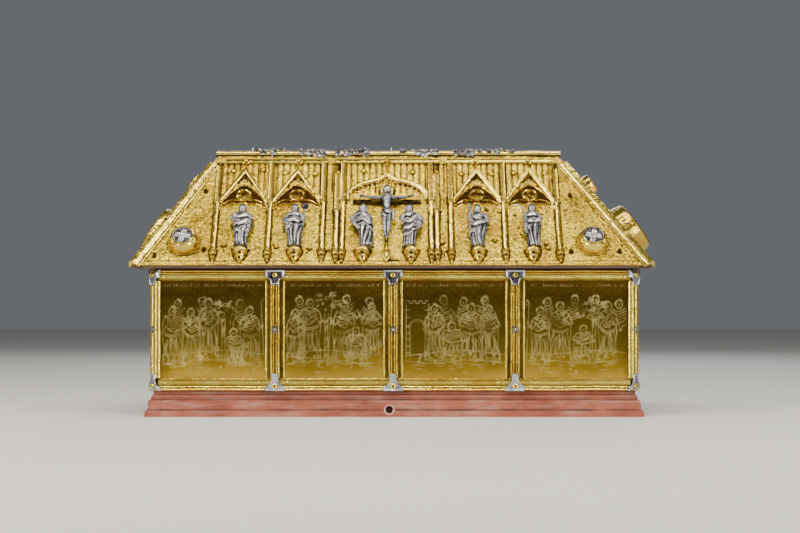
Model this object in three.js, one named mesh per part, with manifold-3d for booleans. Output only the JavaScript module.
// A late medieval reliquary casket: a wooden chest with four engraved gilt plates on each long side, silver clasps at
// its posts, and a hipped lid. The lid's front carries gabled arcades, silver figures on consoles and domed bosses.
// Millimetres, +Z up. The front faces -Y. The origin is the middle of the plinth's underside.
import * as THREE from "three";
import { mergeVertices } from "three/addons/utils/BufferGeometryUtils.js";
import Module from "manifold-3d";

const wasm = await Module();
wasm.setup();

// Clearance left between any two pieces that touch
const seat = 0.3;

// Plinth, a moulded and painted board
const plinthHeight = 38;
const plinthSpread = 6; // its foot stands out this far beyond the rails
const pegHoleRadius = 5.8;
const pegHoleDepth = 25;
const pegHoleHeight = 10.8;
const pegHoleShift = -7.5; // along X from the middle
const plinthArris = 1.5; // its upright edges are blunted by this much

// Chest
const bodyLength = 737; // over the rails
const bodyDepth = 250;
const chestHeight = 184;
const wallThickness = 14;
const floorThickness = 12;
const cornerCut = 7.5; // how much of each upright edge of the chest is planed off
const plateThickness = 1.5; // engraved plates and roof plates
const railProjection = 8; // of the rails before the chest's faces
const lowerRailHeight = 19.5;
const upperRailHeight = 17;
const upperRailDrop = 1.5; // the upper rail's top lies this far below the chest's rim

// Posts and their clasps
const postWidth = 30;
const postBeadWidth = 15; // the twin bead in the middle of a post
const cornerReach = 17; // how far a corner post and its clasp run along each face
const claspThickness = 2;
const claspWidth = 30;
const upperClaspHeight = 23;
const lowerClaspHeight = 26;
const claspTongue = 5; // how far a corner clasp's tongue runs past the clasp
const rivetRadius = 4.2;
const rivetHeight = 1.4;
const rosetteRadius = 6;
const postDrift = [4.2, -1.9, -1.6]; // hand work: the front posts stand off their even places

// Lid
const eaveLeft = 22; // the eaves' overhang beyond the rails, on each side
const eaveRight = 15;
const eaveFront = 17;
const eaveEdge = 5;
const roofRise = 172;
const ridgeWidth = 12;
const hipRunLeft = 115.5;
const hipRunRight = 127.6;
const lidWall = 12;
const lidRim = 10;
const lidApexWidth = 8; // of the cavity's flat top
const plateMargin = 1; // roof plates stop this short of the roof's edges
const hipStripWidth = 12.7;
const hipStripThickness = 3;
const ridgeRollRadius = 5;
const ridgeOverrun = 4; // the roll runs past the ridge's ends
const crestHeight = 5;
const crestLeafLength = 14;
const crestLeafWidth = 6.8;
const crestStemWidth = 2.4;
const crestLeaves = 6;

// Arcade on the lid's front. Heights are measured up the slope from the eave.
const arcadeDrift = -2; // its middle lies this far from the middle of the ridge
const arcadeDepth = 5;
const outerColumnInset = 5.4; // from the end of the ridge
const innerColumnPlace = 97.5; // from the arcade's middle, as the next two
const buttressPlace = 76.5;
const centreColumnPlace = 67.5;
const shaftWidth = 6.4;
const pilasterWidth = 9;
const pendantHeight = 26;
const pendantFoot = 1.5;
const capitalHeight = 120; // where the shafts end
const capitalThickness = 4.5;
const buttressCapital = 101;
const topRailDrop = 16.3; // the lower edge of the rail under the ridge lies this far down the slope
const topRailWidth = 9;
const buttressDrop = 18; // from the top rail down to the buttress's top
const pierWebDrop = 22; // from the top rail down to the top of the web behind the buttress
const gableFoot = 107; // where the gables' cusped arches spring
const gableShoulder = 124; // where their raking bars leave the columns
const gableDrop = 13.5; // from the top rail down to the apex
const gableBar = 5.2; // width of a raking bar
const gableRing = 10; // radius of the round opening over each cusped arch
const gableRingHeight = 136;
const gableRim = 3; // of the tracery round its openings
const finialHeight = 18;
const finialWidth = 10;
const ogeeDrop = 21; // from the top rail down to the apex
const ogeeSpringing = 127;
const ogeeBand = 5.5;
const ogeeFinialWidth = 12;
const fringeDrop = 9; // longest cusp under the band

// Figures and their consoles
const consoleWidth = 20;
const consoleDepth = 14;
const consoleHeight = 24;
const consoleFoot = 1.5;
const figureHeight = 86;
const mournerPlace = 36.6; // from the cross
const crossSpan = 105;
const crossBar = 8;
const crossThickness = 4;
const crossArmHeight = 121; // up the slope
const crossFoot = 27;
const crossTop = 150;
const crucifiedHeight = 102;
const crucifiedFeet = 42; // up the slope

// Bosses and roundels
const bossRadius = 26;
const bossHeight = 19;
const bossMedallion = 15.3; // radius
const bossInset = { left: 73.8, right: 85.1 }; // from the eave's ends
const bossRise = 41.7; // up the slope
const roundelRadius = 45;
const roundelRise = 56;
const roundelHeight = { left: 20, right: 32 };
const smallRoundelRadius = 17.5;
const smallRoundelRise = 150;
const smallRoundelHeight = { left: 11, right: 17 };

// Sizes that follow from those above
const halfBody = { x: bodyLength / 2, y: bodyDepth / 2 };
const halfChest = { x: halfBody.x - railProjection, y: halfBody.y - railProjection };
const chestBottom = plinthHeight + seat;
const chestTop = chestBottom + chestHeight;
const lowerRailTop = chestBottom + lowerRailHeight;
const upperRailTop = chestTop - upperRailDrop;
const upperRailBottom = upperRailTop - upperRailHeight;
const lidBottom = chestTop + seat;
const eaveTop = lidBottom + eaveEdge;
const ridgeTop = eaveTop + roofRise;
const eave = { left: -halfBody.x - eaveLeft, right: halfBody.x + eaveRight, half: halfBody.y + eaveFront };
const ridge = { left: eave.left + hipRunLeft, right: eave.right - hipRunRight, half: ridgeWidth / 2 };
const frontRun = eave.half - ridge.half;
const frontLength = Math.hypot(frontRun, roofRise);
const arcadeShift = (ridge.left + ridge.right) / 2 + arcadeDrift;
const outerColumnPlace = (ridge.right - ridge.left) / 2 - outerColumnInset;
const middleColumnPlace = (outerColumnPlace + innerColumnPlace) / 2;
const outerBay = (outerColumnPlace + middleColumnPlace) / 2;
const innerBay = (middleColumnPlace + innerColumnPlace) / 2;
const figurePlaces = [-outerBay, -innerBay, -mournerPlace, mournerPlace, innerBay, outerBay];
const topRailHeight = frontLength - topRailDrop;
const gableApex = topRailHeight - gableDrop;
const ogeeApex = topRailHeight - ogeeDrop;
const mountBase = plateThickness + 2 * seat; // where pieces begin, out from a slope

// Colours, roughness and metalness of the materials
const finish = (color, roughness, metalness) => new THREE.MeshStandardMaterial({ color, roughness, metalness });
const paintedWood = finish(0xb5705f, 0.8, 0);
const oak = finish(0x7a5a3a, 0.85, 0);
const gilding = finish(0xd9a63a, 0.35, 0.9);
const engravedGilding = finish(0x9a842c, 0.4, 0.9);
const silver = finish(0x9c9ca2, 0.35, 0.9);

// Solids: closed geometries joined and cut
function solidOf(geometry) {
  const bare = geometry.index ? geometry.toNonIndexed() : geometry.clone();
  bare.deleteAttribute("normal");
  bare.deleteAttribute("uv");
  const merged = mergeVertices(bare, 1e-4);
  return new wasm.Manifold(
    new wasm.Mesh({
      numProp: 3,
      vertProperties: merged.attributes.position.array,
      triVerts: new Uint32Array(merged.index.array),
    }),
  );
}

function geometryOf(solid) {
  const mesh = solid.getMesh();
  const stride = mesh.numProp;
  const place = new Float32Array(mesh.numVert * 3);
  for (let i = 0; i < mesh.numVert; i++) {
    place.set(mesh.vertProperties.subarray(i * stride, i * stride + 3), i * 3);
  }
  return new THREE.BufferGeometry()
    .setAttribute("position", new THREE.BufferAttribute(place, 3))
    .setIndex(new THREE.BufferAttribute(mesh.triVerts, 1));
}

const join = (geometries) => geometryOf(geometries.map(solidOf).reduce((a, b) => a.add(b)));
const cut = (geometry, tools) => geometryOf(tools.map(solidOf).reduce((a, b) => a.subtract(b), solidOf(geometry)));

function piece(name, geometry, material) {
  const faceted = geometry.index ? geometry.toNonIndexed() : geometry;
  faceted.computeVertexNormals();
  const mesh = new THREE.Mesh(faceted, material);
  mesh.name = name;
  return mesh;
}

// A box between two corners
function block([x0, y0, z0], [x1, y1, z1]) {
  return new THREE.BoxGeometry(x1 - x0, y1 - y0, z1 - z0).translate((x0 + x1) / 2, (y0 + y1) / 2, (z0 + z1) / 2);
}

// Faces between rings of points, each ring anticlockwise seen from the way the rings run. A closed loft returns to its
// first ring, and an open one is capped.
function loft(rings, closed = false) {
  const count = rings[0].length;
  const corners = rings.flat();
  const faces = [];
  const last = closed ? rings.length : rings.length - 1;
  for (let r = 0; r < last; r++) {
    const low = r * count;
    const high = ((r + 1) % rings.length) * count;
    for (let i = 0; i < count; i++) {
      const j = (i + 1) % count;
      faces.push(low + i, low + j, high + j, low + i, high + j, high + i);
    }
  }
  if (!closed) {
    const cap = (ring, start, forwards) => {
      const normal = [0, 1, 2].map((axis) => {
        const [a, b] = [(axis + 1) % 3, (axis + 2) % 3];
        return ring.reduce((sum, p, i) => {
          const q = ring[(i + 1) % count];
          return sum + (p[a] - q[a]) * (p[b] + q[b]);
        }, 0);
      });
      const axis = normal.map(Math.abs).indexOf(Math.max(...normal.map(Math.abs)));
      const flat = ring.map((p) => new THREE.Vector2(p[(axis + 1) % 3], p[(axis + 2) % 3]));
      const sameWay = normal[axis] > 0 === forwards;
      for (const [i, j, k] of THREE.ShapeUtils.triangulateShape(flat, [])) {
        faces.push(start + i, start + (sameWay ? j : k), start + (sameWay ? k : j));
      }
    };
    cap(rings[0], 0, false);
    cap(rings[rings.length - 1], (rings.length - 1) * count, true);
  }
  return new THREE.BufferGeometry()
    .setAttribute("position", new THREE.Float32BufferAttribute(corners.flat(), 3))
    .setIndex(faces);
}

// A level rectangle with its corners cut off
function cutRectangle(halfX, halfY, leg, z) {
  return [
    [halfX, -halfY + leg, z], [halfX, halfY - leg, z], [halfX - leg, halfY, z], [-halfX + leg, halfY, z],
    [-halfX, halfY - leg, z], [-halfX, -halfY + leg, z], [-halfX + leg, -halfY, z], [halfX - leg, -halfY, z],
  ];
}

// The chest's outline, moved out by an offset. The cut corner's leg grows so that all faces move equally.
const legAt = (offset) => cornerCut + offset * (2 - Math.SQRT2);
const chestOutline = (offset, z) =>
  cutRectangle(halfChest.x + offset, halfChest.y + offset, legAt(offset), z);

const rectangle = (x0, x1, half, z) => [[x1, -half, z], [x1, half, z], [x0, half, z], [x0, -half, z]];

function extruded(points, depth) {
  const shape = new THREE.Shape(points.map(([x, y]) => new THREE.Vector2(x, y)));
  return new THREE.ExtrudeGeometry(shape, { depth, bevelEnabled: false, curveSegments: 6 });
}

const mirrored = (half) => [...half, ...half.map(([x, y]) => [-x, y]).reverse()];

// The plinth: foot, hollow, broad band, bead and fillet, as outlines stacked from the floor up
function plinth() {
  const profile = [
    [1, 0], [1, 0.1], [0.85, 0.22], [0.45, 0.26], [0.45, 0.29], [0.3, 0.31], [0.15, 0.64],
    [-0.5, 0.68], [-0.45, 0.74], [-0.7, 0.85], [-1, 0.87], [-1, 1],
  ];
  const body = loft(profile.map(([out, up]) => {
    const spread = out * plinthSpread;
    const side = up > 0.1 ? spread : plinthSpread;
    return cutRectangle(halfBody.x + side, halfBody.y + side, plinthArris, up * plinthHeight);
  }));
  const hole = new THREE.CylinderGeometry(pegHoleRadius, pegHoleRadius, 2 * pegHoleDepth, 12)
    .translate(pegHoleShift, -halfBody.y - plinthSpread, pegHoleHeight);
  return piece("plinth", cut(body, [hole]), paintedWood);
}

function chest() {
  const outside = loft([chestOutline(0, chestBottom), chestOutline(0, chestTop)]);
  const inside = block(
    [-halfChest.x + wallThickness, -halfChest.y + wallThickness, chestBottom + floorThickness],
    [halfChest.x - wallThickness, halfChest.y - wallThickness, chestTop + wallThickness],
  );
  return piece("casket_box", cut(outside, [inside]), oak);
}

// A rail goes once round the chest. Shares of its projection and height, from the plain edge to the beaded one.
const railProfile = [
  [0.75, 0], [0.75, 0.11], [0.55, 0.15], [0.55, 0.58], [0.85, 0.62], [0.85, 0.72],
  [0.6, 0.75], [0.95, 0.8], [1, 0.9], [0.85, 1],
];

function rail(name, bottom, height, beadUp) {
  const rise = (up) => bottom + height * (beadUp ? up : 1 - up);
  const outer = railProfile.map(([out, up]) => chestOutline(out * railProjection, rise(up)));
  const inner = [chestOutline(seat, rise(1)), chestOutline(seat, rise(0))];
  const rings = [...outer, ...inner];
  return piece(name, loft(beadUp ? rings : rings.reverse(), true), gilding);
}

// Where a post's shaft ends, just clear of the rails
const postBottom = lowerRailTop + seat;
const postTop = upperRailBottom - seat;

// Plan of a post's twin bead, x along the face and y out from it
function beadPlan(base) {
  const w = postBeadWidth / 2;
  const crown = railProjection + 2 * seat;
  return mirrored([[w, base], [w, 0.5 * crown], [0.78 * w, 0.92 * crown], [0.45 * w, crown],
    [0.18 * w, 0.6 * crown]]);
}

// Outline of a clasp that widens from its tongue to the rail's edge, y from the rail's edge to the tongue's tip
function claspOutline(height, tongue) {
  const w = claspWidth / 2;
  const t = tongue / 2;
  const outline = mirrored([[w, 0], [w, 0.27 * height], [0.7 * w, 0.38 * height], [t, 0.66 * height],
    [0.9 * t, height]]);
  return extruded(outline, claspThickness);
}

function rivet() {
  return new THREE.CylinderGeometry(0.55 * rivetRadius, rivetRadius, rivetHeight + seat, 6)
    .rotateX(Math.PI / 2)
    .translate(0, 0, claspThickness + (rivetHeight - seat) / 2);
}

function rosette() {
  const petals = Array.from({ length: 8 }, (_, i) => {
    const radius = rosetteRadius * (i % 2 ? 0.55 : 1);
    return [radius * Math.sin((i * Math.PI) / 4), radius * Math.cos((i * Math.PI) / 4)];
  });
  return extruded(petals.reverse(), 0.35 * railProjection);
}

// A flat solid drawn in x and y, stood up against a face: y becomes height, and its thickness runs out from the face
const standing = (geometry, out, height) => geometry.rotateX(Math.PI / 2).translate(0, -out, height);

// What a post carries besides its clasps, on a face that looks along -Y at y = 0: a rivet in each clasp and a rosette
function trimmings() {
  const claspBase = railProjection + seat;
  return [
    standing(rivet(), claspBase, upperRailTop - 0.33 * upperClaspHeight),
    standing(rivet(), claspBase, chestBottom + 0.3 * lowerClaspHeight),
    standing(rosette(), 0.8 * railProjection, (postBottom + postTop) / 2),
  ];
}

// The clasps' tongues lie into the bead's crown, which makes each post and its clasps one piece
function facePost(name, x, turn, trimmed) {
  const w = postWidth / 2;
  const fillet = 0.11 * postWidth;
  const web = mirrored([[w, seat], [w, 0.33 * railProjection], [w - fillet, 0.33 * railProjection],
    [w - 1.3 * fillet, 0.16 * railProjection], [0.45 * postBeadWidth, 0.16 * railProjection]]);
  const upright = (plan) => extruded(plan, postTop - postBottom).rotateX(Math.PI).translate(0, 0, postTop);
  const claspBase = railProjection + seat;
  const upperClasp = claspOutline(upperClaspHeight, 0.8 * postBeadWidth).rotateX(Math.PI);
  const solids = [
    upright(web),
    upright(beadPlan(seat)),
    standing(upperClasp, claspBase + claspThickness, upperRailTop),
    standing(claspOutline(lowerClaspHeight, 0.62 * postBeadWidth), claspBase, chestBottom),
    ...(trimmed ? trimmings() : []),
  ];
  const post = piece(name, join(solids), gilding);
  const distance = Math.abs(Math.cos(turn)) > 0.5 ? halfChest.y : halfChest.x;
  post.rotation.z = turn;
  post.position.set(
    x * Math.cos(turn) + distance * Math.sin(turn),
    x * Math.sin(turn) - distance * Math.cos(turn),
    0,
  );
  return post;
}

// A band that wraps the chest's corner between two offsets, reaching along both faces, in the corner's own plan:
// the virtual corner of the chest is the origin and both faces run towards negative x and y.
function cornerBand(inner, outer, reach, z0, z1) {
  const end = railProjection - reach;
  const plan = [
    [outer, end], [outer, outer - legAt(outer)], [outer - legAt(outer), outer], [end, outer],
    [end, inner], [inner - legAt(inner), inner], [inner, inner - legAt(inner)], [inner, end],
  ];
  return extruded(plan, z1 - z0).translate(0, 0, z0);
}

function cornerPost(name, signX, signY) {
  const claspIn = railProjection + seat;
  const claspOut = claspIn + claspThickness;
  const diagonal = cornerCut / 2; // from the virtual corner to the planed face's middle, along x and y
  const onDiagonal = (geometry) => geometry.rotateZ((3 * Math.PI) / 4).translate(-diagonal, -diagonal, 0);
  const bead = extruded(beadPlan(3 * seat), postTop - postBottom).rotateX(Math.PI).translate(0, 0, postTop);
  const tongueHalf = 0.3 * postBeadWidth;
  const tongue = (z0, z1) => block([-tongueHalf, -claspOut + seat, z0], [tongueHalf, -claspIn - seat / 6, z1]);
  const shoulder = 0.72;
  const upperShoulder = upperRailTop - shoulder * upperClaspHeight;
  const lowerShoulder = chestBottom + shoulder * lowerClaspHeight;
  const solids = [
    cornerBand(seat, 0.33 * railProjection, cornerReach, postBottom, postTop),
    onDiagonal(bead),
    cornerBand(claspIn, claspOut, cornerReach, upperShoulder, upperRailTop),
    onDiagonal(tongue(upperRailTop - upperClaspHeight - 0.4 * claspTongue, upperShoulder + seat)),
    cornerBand(claspIn, claspOut, cornerReach, chestBottom, lowerShoulder),
    onDiagonal(tongue(lowerShoulder - seat, chestBottom + lowerClaspHeight + 0.4 * claspTongue)),
    ...(signY < 0 ? trimmings().map(onDiagonal) : []),
  ];
  const quarter = signX > 0 ? (signY > 0 ? 0 : -1) : signY > 0 ? 1 : 2;
  const post = piece(name, join(solids), gilding);
  post.rotation.z = (quarter * Math.PI) / 2;
  post.position.set(signX * halfChest.x, signY * halfChest.y, 0);
  return post;
}

// Even places of the posts between the corners, and the plates between them
const postSpan = 2 * (halfBody.x - cornerReach);
const postPitch = (postSpan + postWidth) / 4;
const evenPlaces = [-postPitch, 0, postPitch];

// The engraved plates of one long side, which fill the fields between the posts, in the order of increasing x
function longPlates(side, places, y) {
  const edges = [-postSpan / 2, ...places.flatMap((x) => [x - postWidth / 2, x + postWidth / 2]), postSpan / 2];
  return [0, 1, 2, 3].map((i) => piece(
    `plate_${side}_${i + 1}`,
    block(
      [edges[2 * i] + seat, Math.min(y, y + Math.sign(y) * plateThickness), lowerRailTop + seat],
      [edges[2 * i + 1] - seat, Math.max(y, y + Math.sign(y) * plateThickness), upperRailBottom - seat],
    ),
    engravedGilding,
  ));
}

function endPlate(name, side) {
  const half = halfBody.y - cornerReach - seat;
  const faces = [side * (halfChest.x + seat), side * (halfChest.x + seat + plateThickness)].sort((a, b) => a - b);
  return piece(
    name,
    block([faces[0], -half, lowerRailTop + seat], [faces[1], half, upperRailBottom - seat]),
    engravedGilding,
  );
}

// The lid is a hollow hipped roof of boards on a rim
function lidShell() {
  const outside = loft([
    rectangle(eave.left, eave.right, eave.half, lidBottom),
    rectangle(eave.left, eave.right, eave.half, eaveTop),
    rectangle(ridge.left, ridge.right, ridge.half, ridgeTop),
  ]);
  const slant = (run) => Math.hypot(run, roofRise) / roofRise;
  const inset = (run, z) => (run * (z - eaveTop)) / roofRise + lidWall * slant(run);
  const inner = (z) => rectangle(
    eave.left + inset(hipRunLeft, z), eave.right - inset(hipRunRight, z), eave.half - inset(frontRun, z), z,
  );
  const rimTop = lidBottom + lidRim;
  const innerTop = eaveTop + ((eave.half - lidApexWidth / 2 - lidWall * slant(frontRun)) * roofRise) / frontRun;
  const hollow = loft([inner(rimTop), inner(innerTop)]);
  const opening = block(
    [-halfChest.x + wallThickness, -halfChest.y + wallThickness, lidBottom - lidRim],
    [halfChest.x - wallThickness, halfChest.y - wallThickness, rimTop + seat],
  );
  return piece("lid_shell", cut(outside, [hollow, opening]), oak);
}

// The lid's four slopes. Each has a frame of its own: x along the eave, y up the slope, z out from it.
function slope(turn, run, left, right, topLeft, topRight, distance) {
  const pitch = Math.atan2(roofRise, run);
  const group = new THREE.Group();
  group.rotation.set(pitch, 0, turn, "ZYX");
  group.position.set(distance * Math.sin(turn), -distance * Math.cos(turn), eaveTop);
  return { group, left, right, topLeft, topRight, length: Math.hypot(run, roofRise) };
}

const front = slope(0, frontRun, eave.left, eave.right, ridge.left, ridge.right, eave.half);
const back = slope(Math.PI, frontRun, -eave.right, -eave.left, -ridge.right, -ridge.left, eave.half);
const rightEnd = slope(Math.PI / 2, hipRunRight, -eave.half, eave.half, -ridge.half, ridge.half, eave.right);
const leftEnd = slope(-Math.PI / 2, hipRunLeft, -eave.half, eave.half, -ridge.half, ridge.half, -eave.left);

function roofPlate(name, of) {
  const lean = (run) => Math.hypot(run, of.length) / of.length;
  const in0 = plateMargin * lean(of.topLeft - of.left);
  const in1 = plateMargin * lean(of.right - of.topRight);
  const at = (from, to, y) => from + ((to - from) * y) / of.length;
  const [y0, y1] = [plateMargin, of.length - plateMargin];
  const outline = [
    [at(of.left, of.topLeft, y0) + in0, y0], [at(of.right, of.topRight, y0) - in1, y0],
    [at(of.right, of.topRight, y1) - in1, y1], [at(of.left, of.topLeft, y1) + in0, y1],
  ];
  of.group.add(piece(name, extruded(outline, plateThickness).translate(0, 0, seat), gilding));
}

// A folded strip over a hip, lying on both slopes' plates, beaded on each flange
function hipStrip(name, from, to, frontNormal, endNormal) {
  const along = to.clone().sub(from).normalize();
  const inFront = new THREE.Vector3().crossVectors(frontNormal, along);
  const inEnd = new THREE.Vector3().crossVectors(endNormal, along);
  if (inFront.dot(endNormal) > 0) inFront.negate();
  if (inEnd.dot(frontNormal) > 0) inEnd.negate();
  const fold = frontNormal.clone().add(endNormal).divideScalar(1 + frontNormal.dot(endNormal));
  const low = mountBase;
  const high = low + hipStripThickness;
  const flange = (normal, inward, out, reach) =>
    normal.clone().multiplyScalar(out).addScaledVector(inward, reach * hipStripWidth);
  const section = [
    flange(frontNormal, inFront, low, 1),
    flange(frontNormal, inFront, low + 0.6 * hipStripThickness, 1),
    flange(frontNormal, inFront, high, 0.8),
    flange(frontNormal, inFront, high, 0.3),
    fold.clone().multiplyScalar(low + 0.5 * hipStripThickness),
    flange(endNormal, inEnd, high, 0.3),
    flange(endNormal, inEnd, high, 0.8),
    flange(endNormal, inEnd, low + 0.6 * hipStripThickness, 1),
    flange(endNormal, inEnd, low, 1),
    fold.clone().multiplyScalar(low),
  ];
  const length = from.distanceTo(to);
  const ring = (distance) => section.map((p) => p.clone().add(from).addScaledVector(along, distance).toArray());
  const rings = [ring(0), ring(length - 1.6 * ridgeWidth)];
  const turns = new THREE.Vector3().crossVectors(section[2].clone().sub(section[0]), section[7].clone().sub(section[2]));
  return piece(name, loft(turns.dot(along) > 0 ? rings : rings.map((r) => r.reverse())), gilding);
}

function hipStrips() {
  const hips = [["front_left", -1, -1], ["front_right", 1, -1], ["back_left", -1, 1], ["back_right", 1, 1]];
  return hips.map(([name, sideX, sideY]) => {
    const run = sideX < 0 ? hipRunLeft : hipRunRight;
    const from = new THREE.Vector3(sideX < 0 ? eave.left : eave.right, sideY * eave.half, eaveTop);
    const to = new THREE.Vector3(sideX < 0 ? ridge.left : ridge.right, sideY * ridge.half, ridgeTop);
    const frontNormal = new THREE.Vector3(0, sideY * roofRise, frontRun).normalize();
    const endNormal = new THREE.Vector3(sideX * roofRise, 0, run).normalize();
    return hipStrip(`hip_strip_${name}`, from, to, frontNormal, endNormal);
  });
}

// The ridge's roll moulding, drawn in y and z and run along the ridge
const rollMiddle = 0.9 * ridgeRollRadius + seat;

function ridgeRoll() {
  const w = ridge.half;
  const r = ridgeRollRadius;
  const skirt = mountBase + 2 * seat;
  const arc = [20, 50, 75].map((degrees) => {
    const angle = (degrees * Math.PI) / 180;
    return [r * Math.cos(angle), rollMiddle + r * Math.sin(angle)];
  });
  const lip = 0.35 * r;
  const half = [[w - seat, seat], [w - seat, skirt], [1.5 * r, skirt], [1.5 * r, skirt + lip], [r, skirt + 1.2 * lip],
    ...arc];
  const plan = mirrored(half);
  const length = ridge.right - ridge.left + 2 * ridgeOverrun;
  const roll = extruded(plan, length).rotateX(Math.PI / 2).rotateZ(Math.PI / 2)
    .translate(ridge.left - ridgeOverrun, 0, ridgeTop);
  return piece("ridge_roll", roll, gilding);
}

// What is left of the silver leaf cresting: a thin stem with torn leaves
function ridgeCresting() {
  const start = ridge.left + 0.12 * (ridge.right - ridge.left);
  const length = 0.72 * (ridge.right - ridge.left);
  const base = ridgeTop + rollMiddle + ridgeRollRadius + seat;
  const stem = block([start, -crestStemWidth / 2, base], [start + length, crestStemWidth / 2, base + 0.3 * crestHeight]);
  const leaves = Array.from({ length: crestLeaves }, (_, i) => {
    const size = 0.75 + 0.25 * Math.sin(2.4 * i);
    return new THREE.OctahedronGeometry(1)
      .scale(crestLeafLength / 2, crestLeafWidth / 2, crestHeight * 0.55 * size)
      .rotateY(0.3 * Math.sin(1.7 * i))
      .translate(
        start + (length * (i + 0.5)) / crestLeaves, 0.5 * crestStemWidth * Math.sin(3.1 * i), base + 0.5 * crestHeight,
      );
  });
  const below = block(
    [start - crestLeafLength, -crestLeafLength, base - crestLeafLength],
    [start + length + crestLeafLength, crestLeafLength, base],
  );
  return piece("ridge_cresting", cut(join([stem, ...leaves]), [below]), silver);
}

// Arcade pieces are drawn on the front slope: x along the eave, y up it, standing on the roof plate
const onPlate = (points, depth = arcadeDepth) => extruded(points, depth).translate(0, 0, mountBase);
const bar = (x0, x1, y0, y1, depth) => block([x0, y0, mountBase], [x1, y1, mountBase + depth]);

// Highest point that a piece at x may reach before it meets a hip strip
function underHip(x) {
  const reach = hipStripWidth + 2 * seat;
  const limit = (gap, run) => ((gap - reach * Math.hypot(run, front.length) / front.length) * front.length) / run;
  return Math.min(limit(x - eave.left, hipRunLeft), limit(eave.right - x, hipRunRight));
}

// A column lofted up the slope: a pendant, a shaft, a capital and a pilaster up to the top rail
function column(x, capital, top) {
  const s = shaftWidth / 2;
  const wide = pilasterWidth / shaftWidth;
  const shaftFoot = pendantFoot + pendantHeight;
  const abacus = capital + capitalThickness;
  const ring = (y, scale, depth) =>
    [[s, 0], [0.7 * s, 1], [-0.7 * s, 1], [-s, 0]].map(([a, out]) => [x + a * scale, y, mountBase + out * depth]);
  return loft([
    ring(top, 0.85 * wide, 0.85 * arcadeDepth), ring(abacus, 0.85 * wide, 0.85 * arcadeDepth),
    ring(abacus, 1.15 * wide, 1.4 * arcadeDepth),
    ring(capital + 0.25 * capitalThickness, 1.15 * wide, 1.4 * arcadeDepth),
    ring(capital, 1, arcadeDepth), ring(shaftFoot, 1, arcadeDepth),
    ring(shaftFoot - 0.12 * pendantHeight, 1.7, 1.3 * arcadeDepth),
    ring(pendantFoot, 0.25, 0.3 * arcadeDepth),
  ]);
}

// A gable between two columns: raking bars over a cusped arch with a ring on it, open between them, and a finial
function gable(x, halfSpan) {
  const rise = gableApex - gableShoulder;
  const slant = Math.hypot(halfSpan, rise) / rise;
  const drop = gableShoulder - gableFoot;
  const underside = [[1, 0], [0.75, 0.58], [0.4, 0.74], [0.17, 0.58], [0, 0.7]]
    .map(([across, up]) => [across * halfSpan, gableFoot + up * drop]);
  const outline = [
    [halfSpan, gableShoulder], [0, gableApex], [-halfSpan, gableShoulder],
    ...underside.slice(0, 4).map(([a, b]) => [-a, b]), ...underside.slice().reverse(),
  ];
  const shape = new THREE.Shape(outline.map(([a, b]) => new THREE.Vector2(a, b)));
  const pierce = (points) => shape.holes.push(new THREE.Path(points.map(([a, b]) => new THREE.Vector2(a, b))));
  const inner = (y) => (halfSpan * (gableApex - y)) / rise - gableBar * slant;
  const ringTop = gableRingHeight + gableRing + gableRim;
  pierce(Array.from({ length: 8 }, (_, i) => {
    const angle = (2 * Math.PI * (i + 0.5)) / 8;
    return [gableRing * Math.cos(angle), gableRingHeight + gableRing * Math.sin(angle)];
  }));
  const light = ringTop + gableRim;
  const foot = gableShoulder + 0.5 * gableRim;
  pierce([[0, gableApex - gableBar * slant * (rise / halfSpan)], [inner(light), light], [-inner(light), light]]);
  for (const side of [-1, 1]) {
    pierce([[side * inner(foot), foot], [side * inner(ringTop - gableRim), ringTop - gableRim],
      [side * (gableRing + 0.8 * gableRim), gableRingHeight], [side * (gableRing + 1.6 * gableRim), foot]]);
  }
  const body = new THREE.ExtrudeGeometry(shape, { depth: arcadeDepth, bevelEnabled: false });
  const finial = mirrored([[0.16, 0], [0.5, 0.55], [0.18, 0.74], [0.08, 1]]
    .map(([a, b]) => [a * finialWidth, gableApex - gableRim + b * (finialHeight + gableRim)]));
  return [body.translate(x, 0, mountBase), onPlate(finial, 1.1 * arcadeDepth).translate(x, 0, 0)];
}

function topRail(x0, x1) {
  return bar(x0, x1, topRailHeight, topRailHeight + topRailWidth, 0.7 * arcadeDepth);
}

function wingArcade(name, side) {
  const [outer, middle, inner] = [outerColumnPlace, middleColumnPlace, innerColumnPlace]
    .map((place) => arcadeShift + side * place);
  const halfSpan = (outerColumnPlace - middleColumnPlace) / 2 - 0.3 * pilasterWidth;
  const solids = [
    column(outer, capitalHeight, Math.min(topRailHeight, underHip(outer + (side * pilasterWidth) / 2))),
    column(middle, capitalHeight, topRailHeight + seat),
    column(inner, capitalHeight, topRailHeight + seat),
    ...gable((outer + middle) / 2, halfSpan),
    ...gable((middle + inner) / 2, halfSpan),
  ];
  const ends = [inner - (side * pilasterWidth) / 2, outer + side * 0.3 * pilasterWidth].sort((a, b) => a - b);
  const corner = topRailHeight + topRailWidth;
  const clearance = side < 0
    ? eave.left + (corner * hipRunLeft) / front.length
    : eave.right - (corner * hipRunRight) / front.length;
  const reach = hipStripWidth * 1.25;
  if (side < 0) ends[0] = Math.max(ends[0], clearance + reach);
  else ends[1] = Math.min(ends[1], clearance - reach);
  solids.push(topRail(...ends));
  front.group.add(piece(name, join(solids), gilding));
}

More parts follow.
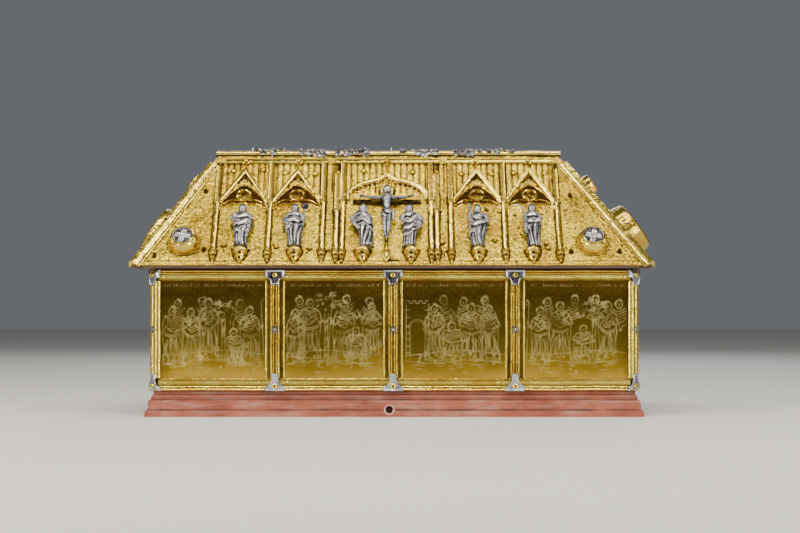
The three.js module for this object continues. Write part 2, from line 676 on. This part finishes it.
// Two columns beside the crucifixion, the outer one a slimmer and lower buttress
function pierPair(name, side) {
  const inner = arcadeShift + side * centreColumnPlace;
  const outer = arcadeShift + side * buttressPlace;
  const ends = [inner - (side * pilasterWidth) / 2, outer + (side * pilasterWidth) / 2].sort((a, b) => a - b);
  const solids = [
    column(inner, capitalHeight, topRailHeight + seat),
    column(outer, buttressCapital, topRailHeight - buttressDrop),
    topRail(...ends),
    bar(...ends, buttressCapital + seat, topRailHeight - pierWebDrop, 0.5 * arcadeDepth),
  ];
  front.group.add(piece(name, join(solids), gilding));
}

// The wide ogee arch over the crucifixion, with a cusped fringe under its band
function ogeeArch() {
  const half = centreColumnPlace - 0.5 * pilasterWidth - 2 * seat;
  const rise = ogeeApex - ogeeSpringing;
  // shares of the half width and of the rise, from a foot to the apex
  const outer = [[1, 0], [1, 0.2], [0.92, 0.37], [0.8, 0.5], [0.63, 0.63], [0.42, 0.72], [0.23, 0.8],
    [0.11, 0.9], [0, 1]].map(([across, up]) => [across * half, ogeeSpringing + up * rise]);
  const hang = [0, 0.2, 0.9, 0.3, 1, 0.3, 1, 0.2, 0.7]; // how far the fringe hangs below the band
  const inner = outer.map(([a, b], i) => [
    Math.max(0, a - (i < 3 ? ogeeBand : 0.35 * ogeeBand)),
    b - (i ? ogeeBand * (i < 3 ? 0.5 : 1.2) + hang[i] * fringeDrop : 0),
  ]);
  const right = [...inner.slice(0, 8).reverse(), ...outer.slice(0, 8)];
  const outline = [inner[8], ...right, outer[8], ...right.map(([a, b]) => [-a, b]).reverse()];
  const finial = mirrored([[0.13, 0], [0.18, 0.34], [0.5, 0.58], [0.15, 0.82], [0.07, 1]]
    .map(([a, b]) => [a * ogeeFinialWidth, ogeeApex - ogeeBand + b * (ogeeDrop + ogeeBand + topRailWidth)]));
  const solids = [
    onPlate(outline, arcadeDepth),
    onPlate(finial, 1.1 * arcadeDepth),
    topRail(-half + seat, half - seat),
  ].map((solid) => solid.translate(arcadeShift, 0, 0));
  front.group.add(piece("ogee_arch", join(solids), gilding));
}

// A console: a half octagon that steps down to a point, under each figure
function console_(name, x) {
  const w = consoleWidth / 2;
  const steps = [[0.12, 0], [0.5, 0.4], [0.75, 0.5], [0.78, 0.7], [1, 0.82], [1, 1]];
  const plan = [[-1, 0], [-1, 0.35], [-0.45, 1], [0.45, 1], [1, 0.35], [1, 0]];
  const rings = steps.map(([share, up]) => plan.map(([a, out]) => [
    x + a * w * share, consoleFoot + up * consoleHeight, mountBase + out * consoleDepth * share,
  ]));
  front.group.add(piece(name, loft(rings), gilding));
}

// A tapering limb through points, each with its own radius, six-sided
function limb(points, sides = 6) {
  const rings = points.map(([x, y, z, radius], i) => {
    const before = points[Math.max(0, i - 1)];
    const after = points[Math.min(points.length - 1, i + 1)];
    const way = new THREE.Vector3(after[0] - before[0], after[1] - before[1], after[2] - before[2]).normalize();
    const sideways = new THREE.Vector3(0, 0, 1).cross(way);
    if (sideways.length() < 0.2) sideways.set(1, 0, 0);
    sideways.normalize();
    const other = new THREE.Vector3().crossVectors(way, sideways);
    return Array.from({ length: sides }, (_, k) => {
      const angle = (2 * Math.PI * k) / sides;
      return new THREE.Vector3(x, y, z)
        .addScaledVector(sideways, radius * Math.cos(angle))
        .addScaledVector(other, radius * Math.sin(angle)).toArray();
    });
  });
  return loft(rings);
}

const ellipsoid = (x, y, z, rx, ry, rz, sides = 6, bands = 4) =>
  new THREE.SphereGeometry(1, sides, bands).scale(rx, ry, rz).translate(x, y, z);

// A draped figure, sizes as shares of its height: hem, knees, hips, waist, chest and shoulders, with fluted folds.
// lean sways the hips, and arms are limbs from shoulder to hand.
function drapedFigure(name, place, { lean, turn, broad = 1, veil = false, arms, extra = [] }) {
  const h = figureHeight;
  const foot = consoleFoot + consoleHeight + seat;
  const out = mountBase + 0.1 * h;
  const x0 = arcadeShift + place;
  // height, half width, half depth, sway and depth of the folds
  const levels = [
    [0, 0.14, 0.08, -0.4, 0.18], [0.25, 0.135, 0.078, 0.1, 0.2], [0.46, 0.15, 0.085, 1, 0.13],
    [0.62, 0.138, 0.08, 0.6, 0.1], [0.78, 0.16, 0.083, 0, 0.05], [0.85, 0.09, 0.06, 0, 0], [0.88, 0.045, 0.045, 0, 0],
  ];
  const sides = 9;
  const rings = levels.map(([up, wide, deep, sway, fold]) => Array.from({ length: sides }, (_, k) => {
    const angle = (2 * Math.PI * k) / sides;
    const flute = 1 + fold * Math.cos(5 * angle + 2.5 * up * Math.PI + turn);
    return [
      x0 + h * (wide * broad * flute * Math.sin(angle) + lean * sway),
      foot + up * h,
      Math.max(out + h * deep * flute * Math.cos(angle), mountBase + seat),
    ];
  }));
  const [headWide, headHigh, headAt] = veil ? [0.085, 0.115, 0.885] : [0.066, 0.073, 0.927];
  const head = ellipsoid(x0 + turn * 0.005 * h, foot + headAt * h, out, headWide * h, headHigh * h, 0.063 * h);
  const solids = [loft(rings), head];
  const placed = ([x, y, z, r]) => [x0 + x * h, foot + y * h, out + z * h, r * h];
  for (const arm of arms) solids.push(limb(arm.map(placed), 4));
  for (const item of extra) solids.push(limb(item.map(placed), 4));
  front.group.add(piece(name, join(solids), silver));
}

// Arms as [x, y, z, radius] in shares of the figure's height: right is the viewer's left
const foldedArm = (side, handX, handY) => [
  [side * 0.14, 0.77, 0, 0.045], [side * 0.175, 0.6, 0.04, 0.045], [handX, handY, 0.095, 0.024],
];

function figures() {
  const [a, b, c, d, e, f] = figurePlaces;
  drapedFigure("figure_saint_1", a, {
    lean: 0.02, turn: 0.4, arms: [foldedArm(-1, -0.03, 0.64), foldedArm(1, 0.08, 0.5)],
  });
  drapedFigure("figure_saint_2", b, {
    lean: -0.01, turn: 1.2, broad: 1.08, arms: [foldedArm(-1, -0.02, 0.55), foldedArm(1, 0.15, 0.62)],
    extra: [[[0.145, 0.42, 0.09, 0.014], [0.15, 0.8, 0.09, 0.014], [0.15, 0.87, 0.09, 0.052],
      [0.15, 0.95, 0.09, 0.03]]],
  });
  drapedFigure("figure_mourning_woman", c, {
    lean: -0.02, turn: 2.2, veil: true, arms: [foldedArm(-1, 0, 0.66), foldedArm(1, 0.02, 0.6)],
  });
  drapedFigure("figure_mourning_man", d, {
    lean: 0.015, turn: -0.8, broad: 1.05, arms: [foldedArm(-1, -0.05, 0.62), foldedArm(1, 0.1, 0.52)],
  });
  drapedFigure("figure_saint_3", e, {
    lean: 0.01, turn: 0.2, arms: [foldedArm(-1, -0.15, 0.56), foldedArm(1, 0.04, 0.58)],
    extra: [[[-0.155, 0.4, 0.09, 0.014], [-0.16, 0.6, 0.095, 0.026], [-0.165, 0.97, 0.09, 0.024]]],
  });
  drapedFigure("figure_saint_4", f, {
    lean: 0.012, turn: 0.9, broad: 0.95, arms: [foldedArm(-1, -0.15, 0.6), foldedArm(1, 0.03, 0.6)],
    extra: [[[-0.16, 0.3, 0.085, 0.012], [-0.17, 0.6, 0.095, 0.012], [-0.22, 0.82, 0.09, 0.012],
      [-0.33, 0.97, 0.075, 0.014]]],
  });
}

// The cross: a slim post with a halo disc, a cross-beam and a pointed foot
function cross() {
  const half = crossSpan / 2;
  const w = crossBar / 2;
  const solids = [
    bar(-0.85 * w, 0.85 * w, crossFoot, crossTop, crossThickness),
    bar(-half, half, crossArmHeight - w, crossArmHeight + w, crossThickness),
    new THREE.CylinderGeometry(1.3 * crossBar, 1.3 * crossBar, crossThickness, 10).rotateX(Math.PI / 2)
      .translate(0, crossTop - 0.9 * crossBar, mountBase + crossThickness / 2),
    onPlate(mirrored([[0, consoleFoot], [0.9 * crossBar, 0.75 * crossFoot], [0.75 * crossBar, crossFoot]]
      .slice(1)).concat([[0, consoleFoot]]), 1.5 * crossThickness),
  ].map((solid) => solid.translate(arcadeShift, 0, 0));
  front.group.add(piece("cross", join(solids), gilding));
}

// The crucified figure, sizes as shares of its height from the feet to the crown of the head
function crucified() {
  const h = crucifiedHeight;
  const base = mountBase + crossThickness + seat;
  const at = ([x, y, z, r]) => [arcadeShift + x * h, crucifiedFeet + y * h, base + 0.004 * h + z * h, r * h];
  const torso = [
    [0.47, 0.062, 0.045], [0.6, 0.055, 0.042], [0.76, 0.085, 0.052],
    [0.83, 0.06, 0.04], [0.87, 0.03, 0.03],
  ];
  const sides = 8;
  const rings = torso.map(([up, wide, deep]) => Array.from({ length: sides }, (_, k) => {
    const angle = (2 * Math.PI * k) / sides;
    return [
      arcadeShift + h * wide * Math.sin(angle), crucifiedFeet + up * h, base + 0.058 * h + h * deep * Math.cos(angle),
    ];
  }));
  const cloth = [[0.39, 0.07, 0.05], [0.44, 0.085, 0.054], [0.53, 0.072, 0.05]].map(([up, wide, deep]) =>
    Array.from({ length: sides }, (_, k) => {
      const angle = (2 * Math.PI * k) / sides;
      const flute = 1 + 0.1 * Math.cos(5 * angle);
      return [
        arcadeShift + h * wide * flute * Math.sin(angle), crucifiedFeet + up * h,
        base + 0.058 * h + h * deep * flute * Math.cos(angle),
      ];
    }));
  const leg = (side) => limb([[side * 0.035, 0.45, 0.06, 0.042], [side * 0.05, 0.26, 0.075, 0.032],
    [side * 0.022, 0.08, 0.05, 0.02], [side * 0.01, 0, 0.055, 0.02]].map(at), 5);
  const arm = (side) => limb([[side * 0.06, 0.8, 0.055, 0.028], [side * 0.24, 0.82, 0.045, 0.021],
    [side * 0.4, 0.865, 0.035, 0.015], [side * 0.445, 0.875, 0.035, 0.02]].map(at), 5);
  const head = at([0.008, 0.93, 0.07, 0]);
  const solids = [
    loft(rings), loft(cloth), leg(-1), leg(1), arm(-1), arm(1),
    ellipsoid(head[0], head[1], head[2], 0.057 * h, 0.064 * h, 0.056 * h),
  ];
  front.group.add(piece("figure_crucified", join(solids), silver));
}

// A turned mount drawn as radius and height, its axis standing out from the slope
function turned(name, of, x, y, profile, sides) {
  const points = [[0, 0], ...profile].map(([radius, height]) => new THREE.Vector2(radius, height));
  const solid = new THREE.LatheGeometry(points, sides).rotateX(Math.PI / 2).translate(x, y, mountBase);
  of.group.add(piece(name, solid, gilding));
}

function bosses() {
  const r = bossRadius;
  const m = bossMedallion;
  const h = bossHeight;
  const domed = [[r, 0], [r, 0.14 * h], [0.9 * r, 0.16 * h], [0.8 * r, 0.38 * h], [0.66 * r, 0.6 * h],
    [m, 0.78 * h], [m, h], [0.86 * m, h], [0, 0.92 * h]];
  turned("boss_left", front, eave.left + bossInset.left, bossRise, domed, 14);
  turned("boss_right", front, eave.right - bossInset.right, bossRise, domed, 14);
  const drum = (radius, height) => [[radius, 0], [radius, 0.12 * height], [0.93 * radius, 0.16 * height],
    [0.95 * radius, 0.9 * height], [0.88 * radius, height], [0.78 * radius, 0.92 * height], [0, 0.96 * height]];
  turned("roundel_left", leftEnd, 0, roundelRise, drum(roundelRadius, roundelHeight.left), 16);
  turned("roundel_right", rightEnd, 0, roundelRise, drum(roundelRadius, roundelHeight.right), 16);
  turned("small_roundel_left", leftEnd, 0, smallRoundelRise, drum(smallRoundelRadius, smallRoundelHeight.left), 10);
  turned("small_roundel_right", rightEnd, 0, smallRoundelRise, drum(smallRoundelRadius, smallRoundelHeight.right), 10);
}

// The whole casket
const casket = new THREE.Group();
casket.add(plinth(), chest());
casket.add(rail("lower_rail", chestBottom, lowerRailHeight, false));
casket.add(rail("upper_rail", upperRailBottom, upperRailHeight, true));

const frontPlaces = evenPlaces.map((x, i) => x + postDrift[i]);
casket.add(...longPlates("front", frontPlaces, -halfChest.y - seat));
casket.add(...longPlates("back", evenPlaces, halfChest.y + seat));
casket.add(endPlate("plate_left", -1), endPlate("plate_right", 1));
frontPlaces.forEach((x, i) => casket.add(facePost(`post_front_${i + 1}`, x, 0, true)));
evenPlaces.forEach((x, i) => casket.add(facePost(`post_back_${i + 1}`, -x, Math.PI, false)));
casket.add(cornerPost("corner_post_front_left", -1, -1), cornerPost("corner_post_front_right", 1, -1));
casket.add(cornerPost("corner_post_back_left", -1, 1), cornerPost("corner_post_back_right", 1, 1));

casket.add(lidShell(), ...hipStrips(), ridgeRoll(), ridgeCresting());
roofPlate("roof_plate_front", front);
roofPlate("roof_plate_back", back);
roofPlate("roof_plate_left", leftEnd);
roofPlate("roof_plate_right", rightEnd);

wingArcade("arcade_left", -1);
wingArcade("arcade_right", 1);
pierPair("pier_left", -1);
pierPair("pier_right", 1);
ogeeArch();
figurePlaces.forEach((x, i) => console_(`console_${i + 1}`, arcadeShift + x));
figures();
cross();
crucified();
bosses();
casket.add(front.group, back.group, leftEnd.group, rightEnd.group);

export default casket;
